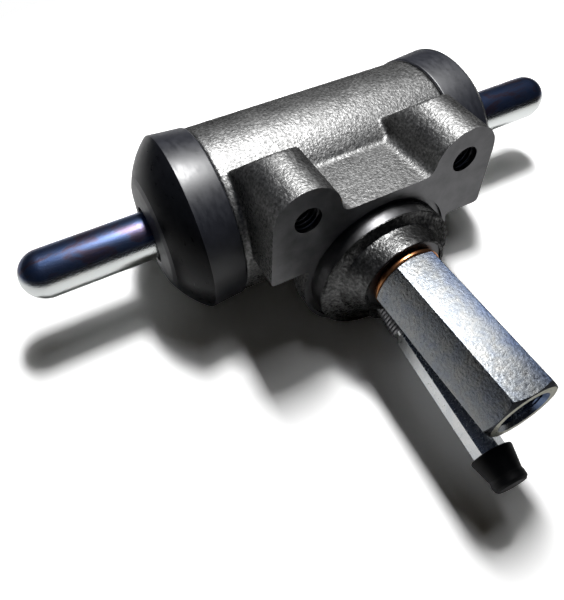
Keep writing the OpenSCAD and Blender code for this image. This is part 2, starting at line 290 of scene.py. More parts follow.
def machinedFinish():
    mat, tree, bsdf, coord = startFinish("machinedIron", (0.22, 0.22, 0.23), 1.0, 0.3, 0.2)
    ring = tree.nodes.new("ShaderNodeTexWave")
    ring.wave_type = "RINGS"
    ring.rings_direction = "Y"
    ring.inputs["Scale"].default_value = 900
    ring.inputs["Distortion"].default_value = 1.2
    ring.inputs["Detail"].default_value = 2
    tree.links.new(coord, ring.inputs["Vector"])
    blot = grain(tree, coord, 220, 4, 0.6)
    tone = ramp(tree, blot, [(0.3, (0.17, 0.17, 0.175)), (0.7, (0.26, 0.26, 0.265))])
    tree.links.new(tone, bsdf.inputs["Base Color"])
    tree.links.new(spread(tree, blot, 0.3, 0.42), bsdf.inputs["Roughness"])
    bumpFrom(tree, bsdf, [(ring.outputs["Fac"], 0.25, 0.01)])
    return mat


def zincFinish(name, shades, peel, tintScale, roughness, blueAt=None):
    mat, tree, bsdf, coord = startFinish(name, shades[1], 1.0, roughness, 0.4)
    tint = grain(tree, coord, tintScale, 4, 0.6, 0.6)
    stops = [(0.3 + 0.4 * k / (len(shades) - 1), colour) for k, colour in enumerate(shades)]
    tone = ramp(tree, tint, stops)
    if blueAt is not None:                 # bluer on one side, shares at millimetres along x
        half = 10
        across = spread(tree, alongAxis(tree, coord, "X"), 0.0, 1.0, -half * mm, half * mm)
        side = ramp(tree, across, [((x + half) / (2 * half), (share,) * 3) for x, share in blueAt])
        blue = ramp(tree, tint, [(at, (r * 0.5, g * 0.66, b * 1.05)) for at, (r, g, b) in stops])
        tone = mixColours(tree, side, tone, blue)
    tree.links.new(tone, bsdf.inputs["Base Color"])
    skin = grain(tree, coord, 1500, 3, 0.6)
    tree.links.new(spread(tree, skin, roughness * 0.8, roughness * 1.35), bsdf.inputs["Roughness"])
    bumpFrom(tree, bsdf, [(grain(tree, coord, 1300, 3, 0.6), peel, 0.05)])
    return mat


def rubberFinish(name, colour, roughness, haze, sheen=0.5):
    mat, tree, bsdf, coord = startFinish(name, colour, 0.0, roughness)
    bsdf.inputs["Specular IOR Level"].default_value = sheen
    dust = grain(tree, stretched(tree, coord, 3, 1, 1), 350, 4, 0.6)
    pale = tuple(c * haze for c in colour)
    tree.links.new(ramp(tree, dust, [(0.35, colour), (0.75, pale)]), bsdf.inputs["Base Color"])
    tree.links.new(spread(tree, dust, roughness * 0.88, roughness * 1.15), bsdf.inputs["Roughness"])
    bumpFrom(tree, bsdf, [(grain(tree, coord, 1400, 3, 0.5), 0.12, 0.03)])
    return mat


def copperFinish():
    mat, tree, bsdf, coord = startFinish("softCopper", (0.8, 0.38, 0.18), 1.0, 0.3)
    blot = grain(tree, coord, 500, 3, 0.5)
    tone = ramp(tree, blot, [(0.3, (0.42, 0.16, 0.06)), (0.7, (0.66, 0.31, 0.14))])
    tree.links.new(tone, bsdf.inputs["Base Color"])
    bumpFrom(tree, bsdf, [(blot, 0.2, 0.03)])
    return mat


def plainMetalFinish(name, colour, roughness):
    mat, tree, bsdf, coord = startFinish(name, colour, 1.0, roughness)
    rings = grain(tree, stretched(tree, coord, 40, 1, 1), 60, 3, 0.6)
    tree.links.new(spread(tree, rings, roughness * 0.8, roughness * 1.3), bsdf.inputs["Roughness"])
    bumpFrom(tree, bsdf, [(rings, 0.2, 0.01)])
    return mat


finish = {
    "cast": castFinish("sandCastIron", (0.13, 0.215, 0.33), 0.47, 1500, 0.16),
    # a darker copy of the cast finish, painted shade for the boss in front of the pilot
    "shadedBossCast": castFinish("paintedShadeCastIron", (0.07, 0.12, 0.2), 0.38, 1250, 0.2),
    "machined": machinedFinish(),
    "hexZinc": zincFinish("hexZinc", [(0.28, 0.31, 0.37), (0.34, 0.36, 0.38), (0.4, 0.4, 0.39)], 0.75, 260, 0.22,
                         [(0.8, 0), (5.2, 1), (6.2, 0.9), (8, 0.3)]),
    "endFace": zincFinish("bareEnd", [(0.72, 0.71, 0.58), (0.78, 0.77, 0.66), (0.84, 0.83, 0.74)], 0.15, 260, 0.28),
    # the bevel's near-black is a painted reflection of dark surroundings
    "bevel": zincFinish("paintedShadeBevel", [(0.05, 0.052, 0.06), (0.07, 0.072, 0.08), (0.1, 0.1, 0.105)], 0.15, 260, 0.25),
    "bleedZinc": zincFinish("bleedZinc", [(0.7, 0.73, 0.76), (0.8, 0.82, 0.83), (0.88, 0.88, 0.87)], 0.1, 200, 0.22),
    "threadZinc": zincFinish("threadZinc", [(0.2, 0.2, 0.21), (0.26, 0.26, 0.27), (0.32, 0.32, 0.32)], 0.2, 200, 0.36),
    "boot": rubberFinish("bootRubber", (0.005, 0.0054, 0.007), 0.3, 1.6, 0.15),
    "band": rubberFinish("bootBand", (0.008, 0.009, 0.014), 0.42, 1.6, 1.0),
    "cap": rubberFinish("capRubber", (0.004, 0.004, 0.005), 0.55, 1.5, 0.22),
    "seal": rubberFinish("sealRubber", (0.02, 0.02, 0.022), 0.4, 1.5),
    "copper": copperFinish(),
    "alloy": plainMetalFinish("turnedAlloy", (0.7, 0.7, 0.71), 0.3),
    "steel": plainMetalFinish("oiledSteel", (0.42, 0.42, 0.44), 0.35),
}
print("finishes made:", len(finish))


def settle(obj, body, slot, mats, *nodes):
    obj.data.materials.clear()
    for m in mats:
        obj.data.materials.append(m)
    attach(obj, body)
    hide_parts(*nodes)


# cylinder body: a raw casting, then the machined cuts
casting = {
    "voxel": 0.48, "smoothSteps": 6, "grainSize": 0.9, "grainDepth": 0.035,
    "barrelR": 22.4, "barrelHalf": 32.4, "neckR": 20.5, "bodyEnd": 40.0, "boreR": 15.875,
    "lugR": 8.595, "lugLen": 14.0, "padHalf": 30.7, "padZ": 7.3,
    "webZ": 23.2, "webFall": 5.0, "webFillet": 2.5, "webLen": 18.0, "webLean": 0.4,
    "flangeR": 21.45, "flangeLen": 5.0, "flangeRootR": 14.0, "pilotR": 19.05, "pilotLen": 3.6,
    "reliefW": 1.4, "reliefT": 0.8, "bossRootR": 15.8, "bossR": 11.0, "bossLen": 10.9, "spotR": 10.4, "spotT": 0.4,
    "bleedBossR": 5.8, "bleedBoss": 8.8, "bleedBossRoot": -6.0, "bleedBossFlare": 2.0, "boltR": 3.4, "boltDepth": 17.0,
    "inletR": 5.05, "inletDepth": 0.4, "bleedR": 3.95, "bleedDepth": -7.5, "feedR": 2.0,
    "roughFrom": -32.0, "roughTo": 68.0,            # degrees of the pilot, towards +x, that stay as cast
    "roughBlend": 15.0, "skirtR": 11.5, "skirtLift": 4.2, "skirtEdge": 0.15, "wildLift": 1.2,
    "lumpSize": 1.5, "lumpDepth": 0.4, "plainDepth": 0.12,
}


def rawCasting(c):
    back = Matrix.Rotation(math.pi / 2, 4, "X")     # outline x, z; depth runs to -y
    lugTop = layout["boltZ"] + c["lugR"]
    spare = 1.2                                     # stock that the cuts take off
    shells = [turned("barrel", [(0, -c["barrelHalf"], 0), (c["barrelR"], -c["barrelHalf"], 0),
                                (c["barrelR"], c["barrelHalf"], 0), (0, c["barrelHalf"], 0)], borePlace(1), 160, False)]
    outline = arcPoints(layout["boltX"], layout["boltZ"], c["lugR"], 180, 0, 36)
    outline += [(c["padHalf"], c["padZ"]), (layout["boltX"] - c["lugR"], c["padZ"])]
    for side in (-1, 1):
        flat = [(side * u, v) for u, v in outline]
        shells.append(prismMesh("lug", flat, back, lambda u, v: spare, lambda u, v: -(c["lugLen"] + lugTop - v)))
    inner = layout["boltX"] - c["lugR"]
    f = c["webFillet"]
    web = [(-layout["boltX"], c["padZ"]), (layout["boltX"], c["padZ"]), (layout["boltX"], c["webZ"] + f)]
    web += arcPoints(inner - f, c["webZ"] + f, f, 0, -90, 8) + arcPoints(f - inner, c["webZ"] + f, f, -90, -180, 8)
    web += [(-layout["boltX"], c["webZ"] + f)]
    drop = Matrix.Translation((0, 0, c["webZ"] * mm)) @ Matrix.Rotation(-math.radians(c["webFall"]), 4, "X")
    drop = drop @ Matrix.Translation((0, 0, -c["webZ"] * mm)) @ back
    webEnd = lambda u, v: -c["webLen"] - (c["webZ"] - v) * c["webLean"]
    shells.append(prismMesh("web", web, drop, lambda u, v: spare, webEnd))
    rootAt = -(layout["boreY"] - c["boreR"] / 2)
    shells.append(turned("flange", [(0, c["pilotLen"] + 0.5, 0), (c["flangeR"], c["pilotLen"] + 0.5, 0),
                                    (c["flangeR"], -c["flangeLen"], 0), (c["flangeRootR"], rootAt, 0),
                                    (0, rootAt, 0)], facePlace(0, 0), 160, False))
    n = 96
    rootRing = arcPoints(0, 0, c["bossRootR"], 0, 360, n)[:n]
    tipRing = arcPoints(0, layout["inletZ"], c["bossR"], 0, 360, n)[:n]
    points = [(u * mm, 0, v * mm) for u, v in rootRing] + [(u * mm, -c["pilotLen"] * mm, v * mm) for u, v in rootRing]
    points += [(u * mm, -(c["bossLen"] + 0.5) * mm, v * mm) for u, v in tipRing]
    faces = [tuple(range(n)), tuple(range(3 * n - 1, 2 * n - 1, -1))]
    for b in (0, n):
        faces += [(b + k, b + (k + 1) % n, b + n + (k + 1) % n, b + n + k) for k in range(n)]
    shells.append(makeMesh("inletBoss", points, faces))
    root, wide, tip = c["bleedBossRoot"], c["bleedBossR"] + c["bleedBossFlare"], c["bleedBoss"] + 0.4
    shells.append(turned("bleedBoss", [(0, root, 0), (wide, root, 0), (wide, 0, 0), (c["bleedBossR"], tip, 0),
                                       (0, tip, 0)], bleedPlace(), 96, False))
    return joinMeshes("cylinderBody", shells)


def growCasting(c):
    body = addObject("cylinderBody", rawCasting(c))
    remesh = body.modifiers.new("skin", "REMESH")
    remesh.mode = "VOXEL"
    remesh.voxel_size = c["voxel"] * mm
    soft = body.modifiers.new("soft", "SMOOTH")
    soft.factor = 0.5
    soft.iterations = c["smoothSteps"]
    bakeModifiers(body)
    size = c["grainSize"] * mm
    normals = [v.normal.copy() for v in body.data.vertices]
    for v, n in zip(body.data.vertices, normals):
        h = noise.noise(v.co / size) + 0.6 * noise.noise(v.co / (size * 0.5))
        v.co += n * (h * c["grainDepth"] * mm)
    body.data.update()
    return body


def roughSkirt(c):
    turns, rings = 180, 20                          # as-cast fillet between the inlet boss and the pilot edge
    top, low = [], []
    for i in range(turns):
        a = 2 * math.pi * i / turns
        side = math.degrees(a if a < math.pi else a - 2 * math.pi)
        wild = max(0, min(1, (side - c["roughFrom"]) / c["roughBlend"], (c["roughTo"] - side) / c["roughBlend"]))
        for j in range(rings + 1):
            t = j / rings
            r = c["skirtR"] + (c["pilotR"] - c["skirtEdge"] - c["skirtR"]) * t
            at = Vector((r * math.cos(a), 0, r * math.sin(a)))
            lump = noise.noise(at / c["lumpSize"]) + 0.5 * noise.noise(at / (0.45 * c["lumpSize"]))
            h = c["skirtLift"] * (1 - t) ** 1.6 + wild * (1 - t) * c["wildLift"]
            h += (c["plainDepth"] + wild * c["lumpDepth"]) * (1 + lump)
            top.append(Vector((at.x, -c["pilotLen"] - h, at.z)) * mm)
            low.append(Vector((at.x, 0.4 - c["pilotLen"], at.z)) * mm)
    w, n = rings + 1, len(top)
    faces = []
    for i in range(turns):
        p, q = i * w, (i + 1) % turns * w
        for j in range(rings):
            quad = (p + j, p + j + 1, q + j + 1, q + j)
            faces += [quad, tuple(n + k for k in reversed(quad))]
        faces += [(p, q, n + q, n + p), (p + rings, n + p + rings, n + q + rings, q + rings)]
    return makeMesh("roughSkirt", top + low, faces)


def ringCut(name, place, r0, r1, h0, h1):
    return latheMesh(name, [(r0, h0), (r1, h0), (r1, h1), (r0, h1)], place, 192)


def plugCut(name, place, r, h0, h1, steps=96):
    return latheMesh(name, [(0, h0), (r, h0), (r, h1), (0, h1)], place, steps, False)


def holeCuts(c):
    inlet, bleed = facePlace(0, layout["inletZ"]), bleedPlace()
    return [plugCut("inletCut", inlet, c["inletR"], c["inletDepth"], c["bossLen"] + 5),
            plugCut("bleedCut", bleed, c["bleedR"], c["bleedDepth"], c["bleedBoss"] + 5)]


def machineCuts(c):
    wide, far = 70, 60                              # cutters run past the stock
    front, inlet, bleed = facePlace(0, 0), facePlace(0, layout["inletZ"]), bleedPlace()
    cuts = [ringCut("faceCut", front, c["pilotR"], wide, 0, c["pilotLen"] + 3),
            ringCut("pilotCut", front, c["bossRootR"] - 0.15, c["pilotR"] + 1, c["pilotLen"], c["pilotLen"] + 1.2),
            ringCut("reliefCut", front, c["pilotR"], c["pilotR"] + c["reliefW"], -c["reliefT"], 1),
            plugCut("bossCut", inlet, c["bossR"] + 2, c["bossLen"], c["bossLen"] + 4),
            plugCut("spotCut", inlet, c["spotR"], c["bossLen"] - c["spotT"], c["bossLen"] + 3),
            plugCut("feedCut", inlet, c["feedR"], -layout["boreY"], 3, 48),
            plugCut("bleedFaceCut", bleed, c["bleedBossR"] + 1.5, c["bleedBoss"], c["bleedBoss"] + 2),
            plugCut("boreCut", borePlace(1), c["boreR"], -far, far, 160)]
    for side in (-1, 1):
        hole = facePlace(side * layout["boltX"], layout["boltZ"])
        cuts.append(latheMesh("boltCut", [(0, 5), (c["boltR"], 5), (c["boltR"], -c["boltDepth"]),
                                          (0, -c["boltDepth"] - 1.8)], hole, 96, False))
    return cuts


def markMachined(mesh, c):
    near = lambda a, b: abs(a - b) < 0.03
    for p in mesh.polygons:
        x, y, z = (v / mm for v in p.center)
        r = math.hypot(x, z)
        up = math.hypot(x, z - layout["inletZ"])
        bolt = math.hypot(abs(x) - layout["boltX"], z - layout["boltZ"])
        bore = math.hypot(y - layout["boreY"], z - layout["boreZ"])
        levels = (0, -c["pilotLen"], c["reliefT"], c["spotT"] - c["bossLen"])
        cutFace = abs(p.normal.y) > 0.98 and any(near(y, level) for level in levels)
        turnedWall = -c["pilotLen"] - 0.05 < y < c["reliefT"] + 0.05 and (
            near(r, c["pilotR"]) or near(r, c["pilotR"] + c["reliefW"]))
        holeWall = near(up, c["inletR"]) or (bolt < c["boltR"] + 0.02 and y < 19.5) or near(bore, c["boreR"])
        rough = c["roughFrom"] < math.degrees(math.atan2(z, x)) < c["roughTo"] and r < c["pilotR"] + 0.05 and y < -0.3
        if (cutFace or turnedWall or holeWall) and not (rough and up > c["spotR"] + 0.3):
            p.material_index = 1
        elif y < 0.3 - c["pilotLen"] and r < c["pilotR"] + 0.1:
            p.material_index = 2                   # painted shade: a darker copy of the cast finish in front of the pilot


def makeBody():
    c = casting
    body = growCasting(c)
    print("raw casting faces:", len(body.data.polygons))
    neck = [turned("neck", [(0, -c["bodyEnd"], 0), (c["neckR"], -c["bodyEnd"], 0), (c["neckR"], c["bodyEnd"], 0),
                            (0, c["bodyEnd"], 0)], borePlace(1), 128, False)]
    cutWith(body, neck, "UNION")
    cutWith(body, machineCuts(c) + holeCuts(c))
    cutWith(body, [roughSkirt(c)], "UNION")
    cutWith(body, holeCuts(c))                      # the holes are cleared again after the skirt
    settle(body, "housing", "cast_body", [finish["cast"], finish["machined"], finish["shadedBossCast"]], "cylinder_body")
    markMachined(body.data, c)
    shade(body.data, 40)
    print("cylinder body faces:", len(body.data.polygons))


makeBody()

# rubber boots
boot = {
    "start": 32.4, "bandR": 22.9, "rimAt": 41.7, "rimR": 23.5, "rimFillet": 0.35, "bulge": 0.7,
    "noseAt": 49.7, "noseR": 13.7, "noseRise": 0.8, "noseFillet": 0.6, "wall": 2.2, "innerR": 20.55, "holeR": 7.55,
}


def domeArc(p, q, bulge, n):
    p, q = Vector(p), Vector(q)
    half = (q - p).length / 2
    radius = (half * half + bulge * bulge) / (2 * bulge)
    along = (q - p).normalized()
    out = Vector((along.y, -along.x))
    if out.x < 0:
        out = -out
    centre = (p + q) / 2 - out * (radius - bulge)
    reach = math.asin(half / radius)
    return [tuple(centre + radius * (along * math.sin(-reach + 2 * reach * k / n)
                                     + out * math.cos(-reach + 2 * reach * k / n))) for k in range(n + 1)]


def makeBoot(name, side, node):
    b = boot
    edgeAt = b["noseAt"] - b["noseRise"]
    dome = domeArc((b["rimR"] - 0.35, b["rimAt"] + 0.3), (b["noseR"] + 0.15, edgeAt - 0.1), b["bulge"], 18)
    corners = [(b["innerR"], b["start"], 0.1), (b["bandR"] - 0.1, b["start"], 0.5)]
    corners += [(b["rimR"], b["rimAt"] - 0.2, b["rimFillet"])]
    corners += [(r, h, 0) for r, h in dome]
    corners += [(b["noseR"] - 0.1, edgeAt, b["noseFillet"]), (b["holeR"] + 0.6, b["noseAt"], 0.3),
                (b["holeR"], b["noseAt"] - 0.2, 0.2), (b["holeR"], b["noseAt"] - b["wall"], 0.2),
                (b["noseR"] - 0.9, edgeAt - b["wall"], 0.3), (b["innerR"], b["rimAt"] - b["wall"] + 1.2, 0.3)]
    obj = addObject(name, turned(name, corners, borePlace(side), 192))
    settle(obj, "housing", "boot_rubber", [finish["boot"], finish["band"]], node)
    for p in obj.data.polygons:
        out, along = p.normal.x * (1 if p.center.x > 0 else -1), abs(p.center.x) / mm
        if (along < b["rimAt"] + 0.1 and out < 0.3) or along > edgeAt - 0.5:
            p.material_index = 1                   # the outer band and the nose are smoother than the dome
    shade(obj.data, 35)


makeBoot("leftBoot", -1, "left_boot")
makeBoot("rightBoot", 1, "right_boot")
print("boots made")

# push rods
pushRod = {
    "radius": 6.35, "ballAt": 28.9, "reach": 83.0,
    "paintedTopFrom": 0.28, "paintedTopFull": 0.55,             # shares of the radius above the axis where the painted dark top begins and where it is full
}


def rodFinish():
    mat, tree, bsdf, coord = startFinish("rodZinc", (0.7, 0.72, 0.75), 1.0, 0.15)
    blot = grain(tree, stretched(tree, coord, 0.4, 1, 1), 260, 4, 0.6, 0.6)
    # painted reflections: a dark blue top and a pale underside; the blotches within each are the zinc's own tint
    dark = ramp(tree, blot, [(0.3, (0.08, 0.13, 0.28)), (0.5, (0.11, 0.15, 0.28)),
                             (0.6, (0.14, 0.11, 0.16)), (0.72, (0.1, 0.1, 0.2))])
    pale = ramp(tree, blot, [(0.3, (0.9, 0.94, 0.94)), (0.7, (0.95, 0.98, 0.96))])
    start, full = ((layout["boreZ"] + pushRod[k] * pushRod["radius"]) * mm for k in ("paintedTopFrom", "paintedTopFull"))
    upper = spread(tree, alongAxis(tree, coord, "Z"), 0.0, 1.0, start, full)    # painted reflection: the upper half is painted dark blue like the dark sky it mirrors, the rest pale like the lit floor
    tree.links.new(mixColours(tree, upper, pale, dark), bsdf.inputs["Base Color"])
    tree.links.new(spread(tree, upper, 0.1, 0.34, 0.0, 1.0), bsdf.inputs["Roughness"])
    bumpFrom(tree, bsdf, [(grain(tree, coord, 2600, 2, 0.6), 0.8, 0.06)])
    return mat


finish["rod"] = rodFinish()


def makeRod(name, side, body, node):
    r, ballAt, reach = (pushRod[k] for k in ("radius", "ballAt", "reach"))
    quarter = [math.radians(5 * k) for k in range(19)]
    ball = [(r * math.sin(a), ballAt - r * math.cos(a)) for a in quarter]
    tip = [(r * math.cos(a), reach - r + r * math.sin(a)) for a in quarter]
    obj = addObject(name, latheMesh(name, [(max(x, 0), h) for x, h in ball + tip], borePlace(side), 128, False))
    settle(obj, body, "zinc_steel", [finish["rod"]], node)
    shade(obj.data, 40)


makeRod("leftPushRod", -1, "left_rod", "left_push_rod")
makeRod("rightPushRod", 1, "right_rod", "right_push_rod")
print("push rods made")

# inlet adapter
adapter = {
    "flats": 17.0, "near": 12.4, "far": 52.1, "turn": 3.6, "edge": 0.35, "crowned": 0.08,
    "bevel": 1.6, "bevelSlope": 0.6, "studR": 5.0, "studEnd": 1.4,
    "portR": 5.5, "portDepth": 12.0, "mouth": 0.9, "drillR": 2.0,
}


def crownedHexagon(flats, turn, edge, crowned):
    half, outline = flats / 2, []
    side = half / math.sqrt(3)
    for k in range(6):
        a = math.radians(60 * k + 30 + turn)
        for j in range(-6, 7):
            t = j / 6
            lift = -crowned * t * t                 # the middle of each face stands proud
            u, v = half + lift, t * (side - edge * 0.55)
            outline.append((u * math.cos(a) - v * math.sin(a), u * math.sin(a) + v * math.cos(a)))
    return outline


def makeAdapter():
    d = adapter
    place = facePlace(0, layout["inletZ"])
    tipR = d["flats"] / math.sqrt(3)
    flat = crownedHexagon(d["flats"], d["turn"], d["edge"], d["crowned"])
    lo, hi = d["near"], d["far"]
    obj = addObject("inletAdapter", prismMesh("inletAdapter", flat, place, lambda u, v: lo, lambda u, v: hi))
    crown = tipR - d["bevel"]
    slope = d["bevel"] * d["bevelSlope"]
    envelope = turned("crown", [(0, lo, 0), (crown, lo, 0), (tipR + 0.02, lo + slope, 0), (tipR + 0.02, hi - slope, 0),
                                (crown, hi, 0.15), (0, hi, 0)], place, 192, False, 3)
    cutWith(obj, [envelope], "INTERSECT")
    stud = turned("stud", [(0, d["studEnd"], 0), (d["studR"] - 0.5, d["studEnd"], 0),
                           (d["studR"], d["studEnd"] + 0.5, 0), (d["studR"], lo + 1, 0),
                           (0, lo + 1, 0)], place, 96, False)
    cutWith(obj, [stud], "UNION")
    port = latheMesh("port", [(0, hi + 1), (d["portR"] + d["mouth"] + 1, hi + 1), (d["portR"] + d["mouth"], hi),
                              (d["portR"], hi - d["mouth"]), (d["portR"], hi - d["portDepth"]),
                              (d["drillR"], hi - d["portDepth"] - 2.75), (d["drillR"], 0), (0, 0)], place, 128, False)
    cutWith(obj, [port])
    settle(obj, "housing", "zinc_steel", [finish["hexZinc"], finish["endFace"], finish["bevel"]], "inlet_adapter")
    for p in obj.data.polygons:
        x, y, z = (v / mm for v in p.center)
        if -y > hi - 0.05 and p.normal.y < -0.9:
            p.material_index = 1                   # the turned end is bare
        elif -y > hi - slope and p.normal.y < -0.3 and math.hypot(x, z - layout["inletZ"]) > crown - 0.3:
            p.material_index = 2                   # and its bevel painted dark, a painted reflection of dark surroundings
    shade(obj.data, 24)


makeAdapter()
print("inlet adapter made")

# copper washer
washer = {"innerR": 5.05, "outerR": 9.0, "near": 10.5, "far": 12.4, "edge": 0.3, "chamfer": 1.1}


def makeWasher():
    w = washer
    corners = [(w["innerR"], w["near"], 0.1), (w["outerR"] - w["chamfer"], w["near"], 0.2),
               (w["outerR"], w["near"] + w["chamfer"], 0.2), (w["outerR"], w["far"], w["edge"]),
               (w["innerR"], w["far"], 0.1)]
    obj = addObject("copperWasher", turned("copperWasher", corners, facePlace(0, layout["inletZ"]), 128))
    settle(obj, "housing", "copper", [finish["copper"]], "copper_washer")
    shade(obj.data)


makeWasher()
print("copper washer made")


# threads: a ridge swept along a spiral
def threadTree():
    tree = bpy.data.node_groups.new("screwThread", "GeometryNodeTree")
    face = tree.interface
    face.new_socket("Geometry", in_out="INPUT", socket_type="NodeSocketGeometry")
    for name in ("Radius", "Pitch", "Turns", "Depth"):
        face.new_socket(name, in_out="INPUT", socket_type="NodeSocketFloat")
    face.new_socket("Finish", in_out="INPUT", socket_type="NodeSocketMaterial")
    face.new_socket("Geometry", in_out="OUTPUT", socket_type="NodeSocketGeometry")
    node, link = tree.nodes.new, tree.links.new
    given = node("NodeGroupInput")
    height = node("ShaderNodeMath")
    height.operation = "MULTIPLY"
    link(given.outputs["Pitch"], height.inputs[0])
    link(given.outputs["Turns"], height.inputs[1])
    spiral = node("GeometryNodeCurveSpiral")
    spiral.inputs["Resolution"].default_value = 40
    link(given.outputs["Turns"], spiral.inputs["Rotations"])
    link(given.outputs["Radius"], spiral.inputs["Start Radius"])
    link(given.outputs["Radius"], spiral.inputs["End Radius"])
    link(height.outputs["Value"], spiral.inputs["Height"])
    up = node("GeometryNodeSetCurveNormal")
    up.mode = "Z_UP"
    link(spiral.outputs["Curve"], up.inputs["Curve"])
    ridge = node("GeometryNodeCurvePrimitiveCircle")
    ridge.inputs["Resolution"].default_value = 6
    link(given.outputs["Depth"], ridge.inputs["Radius"])
    sweep = node("GeometryNodeCurveToMesh")
    sweep.inputs["Fill Caps"].default_value = True
    link(up.outputs["Curve"], sweep.inputs["Curve"])
    link(ridge.outputs["Curve"], sweep.inputs["Profile Curve"])
    whole = node("GeometryNodeRealizeInstances")
    link(sweep.outputs["Mesh"], whole.inputs["Geometry"])
    coat = node("GeometryNodeSetMaterial")
    link(whole.outputs["Geometry"], coat.inputs["Geometry"])
    link(given.outputs["Finish"], coat.inputs["Material"])
    out = node("NodeGroupOutput")
    link(coat.outputs["Geometry"], out.inputs["Geometry"])
    return tree


threadNodes = threadTree()


def makeThread(name, place, start, radius, pitch, turns, depth, mat, body):
    obj = addObject(name, bpy.data.meshes.new(name))
    mod = obj.modifiers.new("thread", "NODES")
    mod.node_group = threadNodes
    sizes = {"Radius": radius * mm, "Pitch": pitch * mm, "Turns": turns, "Depth": depth * mm, "Finish": mat}
    for item in threadNodes.interface.items_tree:
        if item.in_out == "INPUT" and item.name in sizes:
            mod[item.identifier] = sizes[item.name]
    bpy.context.view_layer.update()
    bakeModifiers(obj)
    obj.data.transform(place @ Matrix.Translation((0, 0, start * mm)))
    shade(obj.data, 50)
    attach(obj, body)


# bleed screw
bleeder = {
    "threadR": 3.9, "rootR": 3.4, "pitch": 1.0, "threadStart": -6.5, "threadEnd": 18.8, "flats": 6.9, "turn": 22.0,
    "shankEnd": 55.4, "edge": 0.18, "nippleR": 2.4, "nippleEnd": 59.3, "drillR": 1.0, "drillFrom": 1.5,
}


def makeBleeder():
    b = bleeder
    place = bleedPlace()
    tipR = b["flats"] / math.sqrt(3)
    lo, hi = b["threadEnd"], b["shankEnd"]
    angles = [math.radians(60 * k + b["turn"]) for k in range(6)]
    hexagon = [(tipR * math.cos(a), tipR * math.sin(a), b["edge"]) for a in angles]
    flat = [tuple(p) for p in roundCorners(hexagon, True, 4)]
    obj = addObject("bleederScrew", prismMesh("bleederScrew", flat, place, lambda u, v: lo, lambda u, v: hi))
    crown = turned("shankCrown", [(0, lo, 0), (tipR - 0.8, lo, 0), (tipR + 0.02, lo + 0.8, 0),
                                  (tipR + 0.02, hi - 0.4, 0), (tipR - 0.5, hi, 0), (0, hi, 0)], place, 96, False)
    cutWith(obj, [crown], "INTERSECT")
    first, last = b["threadStart"], b["nippleEnd"]
    stem = turned("stem", [(0, first, 0), (b["drillR"], first, 0), (b["rootR"], first + 2.2, 0),
                           (b["rootR"], lo + 0.6, 0), (b["nippleR"], lo + 0.6, 0), (b["nippleR"], last - 1.4, 0.3),
                           (b["nippleR"] - 0.6, last, 0.2), (0, last, 0)], place, 96, False)
    cutWith(obj, [stem], "UNION")
    cutWith(obj, [plugCut("stemBore", place, b["drillR"], b["drillFrom"], last + 1, 48)])
    settle(obj, "bleeder", "zinc_steel", [finish["bleedZinc"]], "bleeder_screw")
    shade(obj.data, 24)
    turns, depth = (lo - first - 4.0) / b["pitch"], b["threadR"] - b["rootR"]
    makeThread("bleederThread", place, first + 3.2, b["rootR"] - 0.02, b["pitch"], turns, depth,
               finish["threadZinc"], "bleeder")


makeBleeder()
print("bleed screw made")

# turns of thread in the bolt holes and the line port
tapped = {"boltPitch": 1.25, "boltRidge": 0.3, "portPitch": 1.0, "portRidge": 0.3, "sink": 0.02}


def makeTappedThreads():
    t = tapped
    deep = casting["boltDepth"] - 1.5
    turns = (deep - 0.8) / t["boltPitch"]
    for name, side in (("leftBoltThread", -1), ("rightBoltThread", 1)):
        makeThread(name, facePlace(side * layout["boltX"], layout["boltZ"]), -deep, casting["boltR"] + t["sink"],
                   t["boltPitch"], turns, t["boltRidge"], finish["machined"], "housing")
    start = adapter["far"] - adapter["portDepth"] + 0.5
    turns = (adapter["far"] - adapter["mouth"] - 0.4 - start) / t["portPitch"]
    makeThread("portThread", facePlace(0, layout["inletZ"]), start, adapter["portR"] + t["sink"],
               t["portPitch"], turns, t["portRidge"], finish["hexZinc"], "housing")


makeTappedThreads()
print("tapped threads made")

# rubber cap of the bleed screw
cap = {
    "openR": 5.1, "beadR": 4.1, "beadWidth": 1.8, "start": 53.1, "end": 60.95,
    "boreR": 4.034, "nippleR": 2.45, "step": 55.45, "roof": 1.6,
}


def makeCap():
    c = cap
    start, end, bead = c["start"], c["end"], c["beadR"]
    corners = [(c["boreR"], start, 0.15), (c["openR"] - 0.05, start, 0.35), (c["openR"], start + 0.4, 0.3),
               (bead - 0.15, end - c["beadWidth"] - 0.7, 0.4), (bead, end - c["beadWidth"], 0.5),
               (bead - 0.05, end - 0.6, 0.5), (bead - 0.7, end, 0.4), (0, end, 0), (0, end - c["roof"], 0),
               (c["nippleR"], end - c["roof"], 0.1), (c["nippleR"], c["step"], 0.1), (c["boreR"], c["step"], 0.1)]
    obj = addObject("bleederCap", turned("bleederCap", corners, bleedPlace(), 96))
    settle(obj, "cap", "cap_rubber", [finish["cap"]], "bleeder_cap")
    shade(obj.data, 40)


makeCap()
print("bleed cap made")

# inner pieces keep their solids and get a finish
for nodeName, key in (("left_piston", "alloy"), ("right_piston", "alloy"), ("left_cup_seal", "seal"),
                      ("right_cup_seal", "seal"), ("left_cup_expander", "steel"), ("right_cup_expander", "steel"),
                      ("return_spring", "steel")):
    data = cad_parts[nodeName].data
    data.materials.clear()
    data.materials.append(finish[key])
print("inner pieces finished")

# camera
shot = {
    "azimuth": -27.68, "elevation": 52.95, "roll": -0.67,              # degrees
    "distance": 147.4, "across": -24.596, "rise": -10.245,             # millimetres
    "focalPixels": 566.416, "longSide": 600,
}


